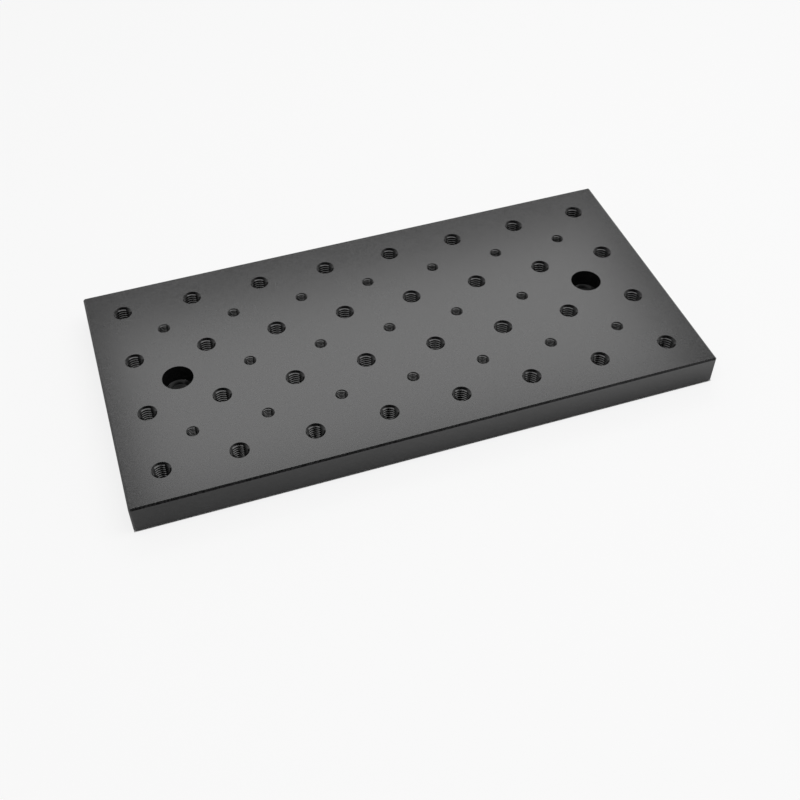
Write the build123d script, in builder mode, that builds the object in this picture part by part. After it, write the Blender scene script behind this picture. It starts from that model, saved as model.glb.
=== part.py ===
from build123d import *
import os

# A solid optical breadboard: one machined and black anodised aluminium plate,
# lying flat. The origin is in the middle of its underside, +Z is up and +X
# runs along its length. Sizes are in millimetres.

# Plate
plate_length = 200.0
plate_width = 100.0
plate_thickness = 11.0
edge_break = 0.5  # 45 degree break along every outer edge

# Two grids of tapped holes, drilled right through, where a small hole sits in
# the middle of each square of large ones
grid_pitch = 25.0
least_margin = 12.5  # from the plate's edge to the centre of the nearest large hole
large_thread = 6.0
large_thread_pitch = 1.0
small_thread = 4.0
small_thread_pitch = 0.7
mouth_excess = 0.05  # how much wider than its thread a mouth is, as a share of the thread

# Two counterbored holes for the screws that hold the plate down
mounting_screw = 6.0
mounting_screw_clearance = 0.6  # across
screw_head = 10.0
screw_head_clearance = 0.5  # across
screw_head_height = 6.0
screw_head_sink = 0.5  # from the plate's top face down to the top of the head

# What follows from them
columns = 1 + int((plate_length - 2 * least_margin) / grid_pitch)
rows = 1 + int((plate_width - 2 * least_margin) / grid_pitch)
mounting_span = (columns - 2) * grid_pitch
counterbore = screw_head + screw_head_clearance


def cut_tapped_holes(part, thread, thread_pitch):
    """Holes at the size of their tapping drill, each with a 90 degree mouth in the top face."""
    drill = thread - thread_pitch
    Hole(drill / 2)
    rims = part.edges(Select.LAST).filter_by(GeomType.CIRCLE).group_by(Axis.Z)[-1]
    chamfer(rims, (thread * (1 + mouth_excess) - drill) / 2)


def small_hole_spots():
    """The middles of the grid's squares, apart from the two that are counterbored."""
    squares = GridLocations(grid_pitch, grid_pitch, columns - 1, rows - 1).local_locations
    middles = [square.position for square in squares]
    ends = [Vector(-mounting_span / 2, 0), Vector(mounting_span / 2, 0)]
    return [m for m in middles if all((m - end).length > counterbore / 2 for end in ends)]


with BuildPart() as breadboard_plate:
    with BuildSketch():
        Rectangle(plate_length, plate_width)
    extrude(amount=plate_thickness)
    chamfer(breadboard_plate.edges(), edge_break)

    with Locations(Plane.XY.offset(plate_thickness)):
        with GridLocations(grid_pitch, grid_pitch, columns, rows):
            cut_tapped_holes(breadboard_plate, large_thread, large_thread_pitch)
        with Locations(*small_hole_spots()):
            cut_tapped_holes(breadboard_plate, small_thread, small_thread_pitch)
        with GridLocations(mounting_span, grid_pitch, 2, 1):
            CounterBoreHole(
                radius=(mounting_screw + mounting_screw_clearance) / 2,
                counter_bore_radius=counterbore / 2,
                counter_bore_depth=screw_head_height + screw_head_sink,
            )

breadboard_plate.part.label = "breadboard_plate"

os.makedirs("parts", exist_ok=True)
export_step(breadboard_plate.part, "parts/breadboard_plate.step")
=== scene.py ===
import math
import time

import bmesh
import bpy
from mathutils import Matrix, Vector
from mathutils.geometry import delaunay_2d_cdt


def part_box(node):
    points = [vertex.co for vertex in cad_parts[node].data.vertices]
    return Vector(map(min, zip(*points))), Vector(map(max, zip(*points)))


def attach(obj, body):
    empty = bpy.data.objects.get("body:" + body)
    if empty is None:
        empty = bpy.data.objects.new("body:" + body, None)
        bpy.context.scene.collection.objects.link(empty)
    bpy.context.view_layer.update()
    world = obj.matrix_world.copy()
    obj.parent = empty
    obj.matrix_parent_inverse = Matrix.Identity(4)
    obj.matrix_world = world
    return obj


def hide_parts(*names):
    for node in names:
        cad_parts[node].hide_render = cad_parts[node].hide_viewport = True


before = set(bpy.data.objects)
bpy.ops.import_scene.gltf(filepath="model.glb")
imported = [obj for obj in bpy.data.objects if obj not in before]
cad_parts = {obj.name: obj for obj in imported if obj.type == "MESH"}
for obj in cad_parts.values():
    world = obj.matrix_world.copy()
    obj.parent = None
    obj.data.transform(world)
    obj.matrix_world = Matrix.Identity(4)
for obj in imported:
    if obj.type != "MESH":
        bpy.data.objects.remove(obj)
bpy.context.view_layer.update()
startTime = time.time()
mm = 0.001


def report(stage):
    print(f"{stage}, {time.time() - startTime:.1f} s")


def newMaterial(name):
    material = bpy.data.materials.new(name)
    material.use_nodes = True
    material.node_tree.nodes.clear()
    return material, material.node_tree.nodes, material.node_tree.links


def addNode(nodes, kind, place, **settings):
    node = nodes.new(kind)
    node.location = place
    for key, value in settings.items():
        setattr(node, key, value)
    return node


# The plate and its holes, in millimetres and degrees
plate = {
    "node": "breadboard_plate",
    "edgeBreak": 0.65,  # 45 degree break along every outer edge
    "edgeRound": 0.05,  # the blasting leaves the break's own corners a little round
    "edgeRoundSteps": 2,
    "gridPitch": 25.0,
    "columns": 8,
    "rows": 4,
    "flatArea": 20.0,  # a face of the outside larger than this is shaded flat
    "sharpAngle": 28.0,  # an edge shows where its faces meet at more than this
}

largeHole = {
    "thread": 6.0,
    "threadPitch": 1.0,
    "drill": 5.0,
    "mouth": 6.5,  # across the 90 degree countersink in the top face
    "underMouth": 6.2,  # the same on the underside
    "facets": 36,
}

smallHole = {
    "thread": 4.0,
    "threadPitch": 0.7,
    "drill": 3.3,
    "mouth": 4.3,
    "underMouth": 4.2,
    "facets": 26,
}

mountingHole = {
    "span": 150.0,
    "recess": 10.5,
    "recessDepth": 6.5,
    "clearance": 6.6,
    "rimRound": 0.08,
    "seatBreak": 0.15,
    "underBreak": 0.3,
    "floorCorner": 0.15,  # the cutter's own corner
    "roundSteps": 3,
    "facets": 80,
}

threadFlank = 30.0  # half the angle of an ISO thread

# How close two points of the mesh may come, in millimetres
closeness = {
    "hair": 1e-9,
    "same": 1e-6,
    "shortStep": 0.004,  # a shorter step up a thread's wall is left out
    "sameTurn": 0.002,  # corners this close along the helix are joined level
}

low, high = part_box(plate["node"])
length = (high.x - low.x) / mm
width = (high.y - low.y) / mm
thickness = (high.z - low.z) / mm

points = []
faces = []  # (corners, is it flat, is it cut inside a hole)


def addPoint(x, y, z):
    points.append((x, y, z))
    return len(points) - 1


def gridSpots(columns, rows, pitch):
    return [
        ((i - (columns - 1) / 2) * pitch, (j - (rows - 1) / 2) * pitch)
        for i in range(columns)
        for j in range(rows)
    ]


def threadCorners(hole):
    # heights within one pitch and radii of an ISO thread: flat root, flank, flat crest, flank
    root = hole["thread"] / 2
    crest = hole["drill"] / 2
    rootFlat = hole["threadPitch"] / 8
    flank = (root - crest) * math.tan(math.radians(threadFlank))
    return [(0.0, root), (rootFlat, root), (rootFlat + flank, crest), (hole["threadPitch"] - flank, crest)]


def holeColumn(hole, corners, turn):
    # one upright cut through the hole's wall, as heights and radii from the underside to the top: the thread,
    # or the countersink where that is wider
    pitch = hole["threadPitch"]
    hair = closeness["hair"]
    thread = [
        (base + pitch * turn + lap * pitch, radius)
        for lap in range(-2, int(thickness / pitch) + 2)
        for base, radius in corners
    ]
    wall = []
    for (z0, r0), (z1, r1) in zip(thread, thread[1:]):
        cuts = [z0, z1] + [z for z in (0.0, thickness) if z0 < z < z1]
        cuts = sorted(z for z in cuts if -hair <= z <= thickness + hair)
        wall += [(z, r0 + (r1 - r0) * (z - z0) / (z1 - z0)) for z in cuts]
    wall = [spot for k, spot in enumerate(wall) if k == 0 or spot[0] - wall[k - 1][0] > closeness["same"]]

    def coneRadius(z):
        return max(hole["mouth"] / 2 - (thickness - z), hole["underMouth"] / 2 - z)

    column = []
    for k, (z, r) in enumerate(wall):
        if k:
            zBefore, rBefore = wall[k - 1]
            before, now = coneRadius(zBefore) - rBefore, coneRadius(z) - r
            if before * now < 0:
                share = before / (before - now)
                column.append((zBefore + (z - zBefore) * share, rBefore + (r - rBefore) * share))
        onCone = coneRadius(z) > r + hair
        if k in (0, len(wall) - 1) or not onCone:
            column.append((z, max(r, coneRadius(z))))
    least = closeness["shortStep"]
    kept = [column[0]]
    for spot in column[1:-1]:
        if spot[0] - kept[-1][0] > least and column[-1][0] - spot[0] > least:
            kept.append(spot)
    return kept + [column[-1]]


def cutThreadedHole(centre, hole):
    # the columns are stitched together by how far each corner is up the helix; gives the upper and lower rim
    facets, pitch = hole["facets"], hole["threadPitch"]
    corners = threadCorners(hole)
    columns = []
    for i in range(facets):
        angle = 2 * math.pi * i / facets
        column = []
        for z, radius in holeColumn(hole, corners, i / facets):
            x, y = centre[0] + radius * math.cos(angle), centre[1] + radius * math.sin(angle)
            column.append((z, addPoint(x, y, z)))
        columns.append(column)
    for i in range(facets):
        left = [(z - pitch * i / facets, spot) for z, spot in columns[i]]
        right = [(z - pitch * (i + 1) / facets, spot) for z, spot in columns[(i + 1) % facets]]
        a = b = 0
        while a < len(left) - 1 or b < len(right) - 1:
            leftNext = left[a + 1][0] if a < len(left) - 1 else math.inf
            rightNext = right[b + 1][0] if b < len(right) - 1 else math.inf
            if abs(leftNext - rightNext) < closeness["sameTurn"]:
                faces.append(((left[a][1], left[a + 1][1], right[b + 1][1], right[b][1]), False, True))
                a, b = a + 1, b + 1
            elif leftNext < rightNext:
                faces.append(((left[a][1], left[a + 1][1], right[b][1]), False, True))
                a += 1
            else:
                faces.append(((left[a][1], right[b + 1][1], right[b][1]), False, True))
                b += 1
    return [column[-1][1] for column in columns], [column[0][1] for column in columns]


def cutMountingHole(centre, hole):
    # turned from its outline: rounded rim, wall, cutter's corner, seat, clearance hole and lower break
    recess, clear = hole["recess"] / 2, hole["clearance"] / 2
    seat = thickness - hole["recessDepth"]
    rim, corner = hole["rimRound"], hole["floorCorner"]
    arc = [math.radians(90 * k / hole["roundSteps"]) for k in range(hole["roundSteps"] + 1)]
    outline = [(recess + rim * (1 - math.sin(a)), thickness - rim * (1 - math.cos(a))) for a in arc]
    outline += [(recess - corner * (1 - math.cos(a)), seat + corner * (1 - math.sin(a))) for a in arc]
    outline += [(clear + hole["seatBreak"], seat), (clear, seat - hole["seatBreak"])]
    outline += [(clear, hole["underBreak"]), (clear + hole["underBreak"], 0.0)]
    facets = hole["facets"]
    turns = [2 * math.pi * i / facets for i in range(facets)]
    rings = [
        [addPoint(centre[0] + radius * math.cos(a), centre[1] + radius * math.sin(a), z) for a in turns]
        for radius, z in outline
    ]
    for upper, lower in zip(rings, rings[1:]):
        for i in range(facets):
            n = (i + 1) % facets
            faces.append(((upper[i], upper[n], lower[n], lower[i]), False, True))
    return rings[0], rings[-1]


def buildShell():
    # the outside with its broken edges; gives the outlines of its two open faces, the top and the underside
    shell = bmesh.new()
    bmesh.ops.create_cube(shell, size=1.0)
    bmesh.ops.scale(shell, vec=(length, width, thickness), verts=shell.verts)
    bmesh.ops.translate(shell, vec=(0, 0, thickness / 2), verts=shell.verts)
    for size, steps in ((plate["edgeBreak"], 1), (plate["edgeRound"], plate["edgeRoundSteps"])):
        bmesh.ops.bevel(shell, geom=list(shell.edges), offset=size, offset_type="OFFSET",
                        segments=steps, profile=0.5, affect="EDGES", clamp_overlap=True)
    shell.normal_update()
    top = max(shell.faces, key=lambda face: face.calc_center_median().z)
    under = min(shell.faces, key=lambda face: face.calc_center_median().z)
    spots = {vert: addPoint(*vert.co) for vert in shell.verts}
    for face in shell.faces:
        if face not in (top, under):
            flat = face.calc_area() > plate["flatArea"]
            faces.append((tuple(spots[vert] for vert in face.verts), flat, False))
    outlines = [[spots[vert] for vert in face.verts] for face in (top, under)]
    shell.free()
    return outlines


def fillFlatFace(outline, rims, facesUp):
    # the flat face between its outline and the holes' rims
    owners = [(-1, spot) for spot in outline]
    loops = [list(range(len(outline)))]
    for n, rim in enumerate(rims):
        loops.append(list(range(len(owners), len(owners) + len(rim))))
        owners += [(n, spot) for spot in rim]
    flatPoints = [Vector(points[spot][:2]) for _, spot in owners]
    edges = [(loop[k], loop[(k + 1) % len(loop)]) for loop in loops for k in range(len(loop))]
    made = delaunay_2d_cdt(flatPoints, edges, [], 1, closeness["same"])
    origins = [source[0] for source in made[3]]
    for triangle in made[2]:
        a, b, c = (origins[k] for k in triangle)
        if owners[a][0] == owners[b][0] == owners[c][0] != -1:
            continue  # inside a hole
        turn = (flatPoints[b] - flatPoints[a]).cross(flatPoints[c] - flatPoints[a])
        if (turn > 0) != facesUp:
            b, c = c, b
        faces.append(((owners[a][1], owners[b][1], owners[c][1]), True, False))


def buildPlate():
    topOutline, underOutline = buildShell()
    topRims, underRims = [], []
    pitch = plate["gridPitch"]
    mountings = [(-mountingHole["span"] / 2, 0.0), (mountingHole["span"] / 2, 0.0)]
    middles = gridSpots(plate["columns"] - 1, plate["rows"] - 1, pitch)
    cuts = [
        (cutThreadedHole, largeHole, gridSpots(plate["columns"], plate["rows"], pitch)),
        (cutThreadedHole, smallHole, [spot for spot in middles if spot not in mountings]),
        (cutMountingHole, mountingHole, mountings),
    ]
    for cutHole, hole, spots in cuts:
        for spot in spots:
            top, under = cutHole(spot, hole)
            topRims.append(top)
            underRims.append(under)
    fillFlatFace(topOutline, topRims, True)
    fillFlatFace(underOutline, underRims, False)

    mesh = bpy.data.meshes.new("breadboard")
    places = [(x * mm, y * mm, z * mm) for x, y, z in points]
    mesh.from_pydata(places, [], [corners for corners, _, _ in faces])
    mesh.polygons.foreach_set("material_index", [int(inHole) for _, _, inHole in faces])
    mesh.set_sharp_from_angle(angle=math.radians(plate["sharpAngle"]))
    mesh.polygons.foreach_set("use_smooth", [not flat for _, flat, _ in faces])
    mesh.validate()
    mesh.update()
    piece = bpy.data.objects.new("breadboard", mesh)
    bpy.context.scene.collection.objects.link(piece)
    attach(piece, "root")
    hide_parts(plate["node"])
    return piece


breadboard = buildPlate()
report(f"plate built, {len(breadboard.data.polygons)} faces")


# The finish: blasted with fine glass beads, then anodised black. The coat is clear aluminium oxide over dye,
# so it is shaded as a dark body under a hard clear skin. Cloud, grain and dimple are in millimetres.
blasted = {
    "dye": (0.018, 0.018, 0.0185),
    "dyeSpread": 0.90,
    "roughness": 0.17,
    "roughnessSpread": 0.04,
    "skinIndex": 1.70,
    "dimple": 0.16,
    "dimpleDepth": 0.0032,
    "grain": 0.6,
    "grainBand": 0.16,  # a narrower band of the noise gives crisper grain
    "cloud": 14.0,
}

cut = {
    "dye": (0.008, 0.008, 0.0081),
    "dyeSpread": 0.20,
    "roughness": 0.13,
    "roughnessSpread": 0.06,
    "skinIndex": 1.55,
    "dimple": 0.10,
    "dimpleDepth": 0.0008,
    "grain": 0.4,
    "grainBand": 0.3,
    "cloud": 9.0,
}

coat = {"cloudDetail": 3.0, "grainDetail": 2.0, "dimpleDetail": 1.0, "fade": 0.55, "grainShare": 0.7}


def makeAnodise(name, finish):
    material, nodes, links = newMaterial(name)
    out = addNode(nodes, "ShaderNodeOutputMaterial", (900, 0))
    shader = addNode(nodes, "ShaderNodeBsdfPrincipled", (600, 0))
    shader.inputs["IOR"].default_value = finish["skinIndex"]
    shader.inputs["Metallic"].default_value = 0.0
    links.new(shader.outputs["BSDF"], out.inputs["Surface"])
    place = addNode(nodes, "ShaderNodeTexCoord", (-900, 0))

    def noise(size, detail, y):
        node = addNode(nodes, "ShaderNodeTexNoise", (-650, y))
        node.inputs["Scale"].default_value = 1 / (size * mm)
        node.inputs["Detail"].default_value = detail
        node.inputs["Roughness"].default_value = coat["fade"]
        links.new(place.outputs["Object"], node.inputs["Vector"])
        return node.outputs["Fac"]

    cloud = noise(finish["cloud"], coat["cloudDetail"], 300)
    grain = noise(finish["grain"], coat["grainDetail"], 60)
    dimples = noise(finish["dimple"], coat["dimpleDetail"], -220)

    crisp = addNode(nodes, "ShaderNodeMapRange", (-480, 60))
    crisp.inputs["From Min"].default_value = 0.5 - finish["grainBand"]
    crisp.inputs["From Max"].default_value = 0.5 + finish["grainBand"]
    links.new(grain, crisp.inputs["Value"])
    mottle = addNode(nodes, "ShaderNodeMix", (-300, 220), data_type="FLOAT")
    mottle.inputs["Factor"].default_value = coat["grainShare"]
    links.new(cloud, mottle.inputs["A"])
    links.new(crisp.outputs["Result"], mottle.inputs["B"])

    tint = addNode(nodes, "ShaderNodeMix", (250, 250), data_type="RGBA")
    tint.inputs["A"].default_value = (*[value * (1 - finish["dyeSpread"]) for value in finish["dye"]], 1)
    tint.inputs["B"].default_value = (*[value * (1 + finish["dyeSpread"]) for value in finish["dye"]], 1)
    links.new(mottle.outputs["Result"], tint.inputs["Factor"])
    links.new(tint.outputs["Result"], shader.inputs["Base Color"])

    sheen = addNode(nodes, "ShaderNodeMapRange", (250, -20))
    sheen.inputs["To Min"].default_value = finish["roughness"] - finish["roughnessSpread"]
    sheen.inputs["To Max"].default_value = finish["roughness"] + finish["roughnessSpread"]
    links.new(mottle.outputs["Result"], sheen.inputs["Value"])
    links.new(sheen.outputs["Result"], shader.inputs["Roughness"])

    bump = addNode(nodes, "ShaderNodeBump", (250, -300))
    bump.inputs["Strength"].default_value = 1.0
    bump.inputs["Distance"].default_value = finish["dimpleDepth"] * mm
    links.new(dimples, bump.inputs["Height"])
    links.new(bump.outputs["Normal"], shader.inputs["Normal"])
    return material


breadboard.data.materials.append(makeAnodise("blastedBlackAnodise", blasted))
breadboard.data.materials.append(makeAnodise("cutBlackAnodise", cut))
report("finish made")


# The studio: pale paper on the floor, pale walls, a softbox behind the plate that its top face mirrors, one
# above that lights the threads, and a dark place behind the camera. Metres, and levels where 1 is white.
studio = {
    "floorSize": 6.0,
    "floorDrop": 0.00005,
    "floorColour": (0.66, 0.66, 0.66),  # to everything but the camera
    "floorSeen": (0.92, 0.92, 0.92),  # its colour to the camera, on which the plate's shadow shows
    "floorLift": 0.80,  # how much of the floor that the camera sees is plain white
    # floorShine and shadeReach set a painted light in the paper that the plate mirrors: plain white, painted
    # lighter to the right, with painted shade close beside the plate
    "floorShine": 1.0,  # the same for what the plate mirrors, at its right end
    "shadeReach": (0.002, 0.012),  # how far from the plate its shade on the paper starts to fade, and ends
    "wallsLow": 0.85,
    "wallsHigh": 0.50,
    "wallsTurn": (0.05, 0.45),  # sines of the heights where the low walls end and the high ones begin
    "darkPlace": (-0.30, -0.70, 0.65),
    "darkCore": 24.0,  # degrees from its middle
    "darkEdge": 66.0,
    "boxPlace": (0.175, 0.517, 0.58),
    "boxSize": (0.570, 0.266),
    "boxLevel": 1.56,
    "topPlace": (0.17, -0.10, 0.66),
    "topSize": (1.06, 0.32),
    "topLevel": 2.6,
}


def makeFloor():
    mesh = bpy.data.meshes.new("studioFloor")
    half, drop = studio["floorSize"] / 2, -studio["floorDrop"]
    corners = [(-half, -half, drop), (half, -half, drop), (half, half, drop), (-half, half, drop)]
    mesh.from_pydata(corners, [], [(0, 1, 2, 3)])
    floor = bpy.data.objects.new("studioFloor", mesh)
    bpy.context.scene.collection.objects.link(floor)
    material, nodes, links = newMaterial("paleFloor")
    out = addNode(nodes, "ShaderNodeOutputMaterial", (600, 0))
    paper = addNode(nodes, "ShaderNodeBsdfDiffuse", (0, 100))
    tone = addNode(nodes, "ShaderNodeMix", (-200, -100), data_type="RGBA")
    tone.inputs["A"].default_value = (*studio["floorColour"], 1)
    tone.inputs["B"].default_value = (*studio["floorSeen"], 1)
    white = addNode(nodes, "ShaderNodeEmission", (0, -100))
    white.inputs["Strength"].default_value = 1.0
    rays = addNode(nodes, "ShaderNodeLightPath", (-400, 400))
    seen = addNode(nodes, "ShaderNodeMath", (-200, 400), operation="MULTIPLY")
    seen.inputs[1].default_value = studio["floorLift"]
    mirrored = addNode(nodes, "ShaderNodeMath", (0, 400), operation="MULTIPLY_ADD")
    # under the plate the paper gets only the light that falls through the holes
    place = addNode(nodes, "ShaderNodeTexCoord", (-800, 150))
    halfPlate = addNode(nodes, "ShaderNodeVectorMath", (-600, 150), operation="ABSOLUTE")
    over = addNode(nodes, "ShaderNodeVectorMath", (-400, 150), operation="SUBTRACT")
    over.inputs[1].default_value = (high.x, high.y, 0)
    parts = addNode(nodes, "ShaderNodeSeparateXYZ", (-200, 150))
    farther = addNode(nodes, "ShaderNodeMath", (0, 200), operation="MAXIMUM")
    outside = addNode(nodes, "ShaderNodeMath", (150, 200), operation="GREATER_THAN")
    outside.inputs[1].default_value = 0.0
    # what the plate's sides mirror of the paper is partly a painted light of plain white: painted shade takes
    # it away close beside them, and it is painted lighter to the right
    across = addNode(nodes, "ShaderNodeSeparateXYZ", (-600, 700))
    paintedRightwardLight = addNode(nodes, "ShaderNodeMapRange", (-400, 700))
    paintedRightwardLight.inputs["From Min"].default_value = low.x
    paintedRightwardLight.inputs["From Max"].default_value = high.x
    paintedRightwardLight.inputs["To Max"].default_value = studio["floorShine"]
    # painted shade: the painted white fades out close beside the plate
    shade = addNode(nodes, "ShaderNodeMapRange", (-200, 600))
    shade.inputs["From Min"].default_value = studio["shadeReach"][0]
    shade.inputs["From Max"].default_value = studio["shadeReach"][1]
    lift = addNode(nodes, "ShaderNodeMath", (200, 400), operation="MULTIPLY")
    blend = addNode(nodes, "ShaderNodeMixShader", (400, 0))
    links.new(place.outputs["Object"], halfPlate.inputs[0])
    links.new(halfPlate.outputs["Vector"], over.inputs[0])
    links.new(over.outputs["Vector"], parts.inputs["Vector"])
    links.new(parts.outputs["X"], farther.inputs[0])
    links.new(parts.outputs["Y"], farther.inputs[1])
    links.new(farther.outputs["Value"], outside.inputs[0])
    links.new(rays.outputs["Is Camera Ray"], tone.inputs["Factor"])
    links.new(tone.outputs["Result"], paper.inputs["Color"])
    links.new(rays.outputs["Is Camera Ray"], seen.inputs[0])
    links.new(place.outputs["Object"], across.inputs["Vector"])
    links.new(across.outputs["X"], paintedRightwardLight.inputs["Value"])
    links.new(paintedRightwardLight.outputs["Result"], shade.inputs["To Max"])
    links.new(farther.outputs["Value"], shade.inputs["Value"])
    links.new(rays.outputs["Is Glossy Ray"], mirrored.inputs[0])
    links.new(shade.outputs["Result"], mirrored.inputs[1])
    links.new(seen.outputs["Value"], mirrored.inputs[2])
    links.new(mirrored.outputs["Value"], lift.inputs[0])
    links.new(outside.outputs["Value"], lift.inputs[1])
    links.new(lift.outputs["Value"], blend.inputs["Fac"])
    links.new(paper.outputs["BSDF"], blend.inputs[1])
    links.new(white.outputs["Emission"], blend.inputs[2])
    links.new(blend.outputs["Shader"], out.inputs["Surface"])
    mesh.materials.append(material)


def makeWorld():
    world = bpy.data.worlds.new("studioRoom")
    bpy.context.scene.world = world
    world.use_nodes = True
    nodes, links = world.node_tree.nodes, world.node_tree.links
    nodes.clear()
    out = addNode(nodes, "ShaderNodeOutputWorld", (700, 0))
    seen = addNode(nodes, "ShaderNodeBackground", (200, 150))
    seen.inputs["Color"].default_value = (1, 1, 1, 1)
    seen.inputs["Strength"].default_value = 1.0
    room = addNode(nodes, "ShaderNodeBackground", (200, -100))
    room.inputs["Color"].default_value = (1, 1, 1, 1)
    rays = addNode(nodes, "ShaderNodeLightPath", (0, 400))
    blend = addNode(nodes, "ShaderNodeMixShader", (450, 0))
    links.new(rays.outputs["Is Camera Ray"], blend.inputs["Fac"])
    links.new(room.outputs["Background"], blend.inputs[1])
    links.new(seen.outputs["Background"], blend.inputs[2])
    links.new(blend.outputs["Shader"], out.inputs["Surface"])

    place = addNode(nodes, "ShaderNodeTexCoord", (-1000, -100))
    parts = addNode(nodes, "ShaderNodeSeparateXYZ", (-750, 50))
    links.new(place.outputs["Generated"], parts.inputs["Vector"])
    walls = addNode(nodes, "ShaderNodeMapRange", (-500, 50), interpolation_type="SMOOTHSTEP")
    walls.inputs["From Min"].default_value = studio["wallsTurn"][0]
    walls.inputs["From Max"].default_value = studio["wallsTurn"][1]
    walls.inputs["To Min"].default_value = studio["wallsLow"]
    walls.inputs["To Max"].default_value = studio["wallsHigh"]
    links.new(parts.outputs["Z"], walls.inputs["Value"])

    nearness = addNode(nodes, "ShaderNodeVectorMath", (-750, -250), operation="DOT_PRODUCT")
    nearness.inputs[1].default_value = Vector(studio["darkPlace"]).normalized()
    links.new(place.outputs["Generated"], nearness.inputs[0])
    dark = addNode(nodes, "ShaderNodeMapRange", (-500, -250), interpolation_type="SMOOTHSTEP")
    dark.inputs["From Min"].default_value = math.cos(math.radians(studio["darkEdge"]))
    dark.inputs["From Max"].default_value = math.cos(math.radians(studio["darkCore"]))
    dark.inputs["To Min"].default_value = 1.0
    dark.inputs["To Max"].default_value = 0.0
    links.new(nearness.outputs["Value"], dark.inputs["Value"])
    level = addNode(nodes, "ShaderNodeMath", (-200, -100), operation="MULTIPLY")
    links.new(walls.outputs["Result"], level.inputs[0])
    links.new(dark.outputs["Result"], level.inputs[1])
    links.new(level.outputs["Value"], room.inputs["Strength"])


def makeSoftbox(name, place, size, level):
    data = bpy.data.lights.new(name, "AREA")
    data.shape = "RECTANGLE"
    data.size, data.size_y = size
    data.energy = level * math.pi * data.size * data.size_y
    lamp = bpy.data.objects.new(name, data)
    bpy.context.scene.collection.objects.link(lamp)
    lamp.location = place
    lamp.visible_camera = False


makeFloor()
makeWorld()
makeSoftbox("softbox", studio["boxPlace"], studio["boxSize"], studio["boxLevel"])
makeSoftbox("topSoftbox", studio["topPlace"], studio["topSize"], studio["topLevel"])
report("studio lit")


# The camera, fitted to the hole centres and the plate's edges in the photograph
camera = {
    "place": (-0.087250, -0.265429, 0.281772),
    "right": (0.951947, -0.305722, -0.018190),
    "down": (-0.234776, -0.690318, -0.684355),
    "focalPixels": 1113.423,
    "centre": (370.0, 380.0),
    "picture": 800.0,
    "sensor": 36.0,
    "nearest": 0.01,
    "farthest": 20.0,
}


def makeCamera():
    data = bpy.data.cameras.new("photoCamera")
    data.sensor_width = camera["sensor"]
    data.lens = camera["focalPixels"] * camera["sensor"] / camera["picture"]
    data.shift_x = (camera["picture"] / 2 - camera["centre"][0]) / camera["picture"]
    data.shift_y = (camera["centre"][1] - camera["picture"] / 2) / camera["picture"]
    data.clip_start = camera["nearest"]
    data.clip_end = camera["farthest"]
    eye = bpy.data.objects.new("photoCamera", data)
    bpy.context.scene.collection.objects.link(eye)
    right, up = Vector(camera["right"]).normalized(), -Vector(camera["down"]).normalized()
    back = right.cross(up).normalized()
    up = back.cross(right).normalized()
    turn = Matrix((right, up, back)).transposed().to_4x4()
    eye.matrix_world = Matrix.Translation(Vector(camera["place"])) @ turn
    bpy.context.scene.camera = eye


makeCamera()
bpy.context.scene.view_settings.view_transform = "Standard"

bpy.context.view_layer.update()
report("scene ready")
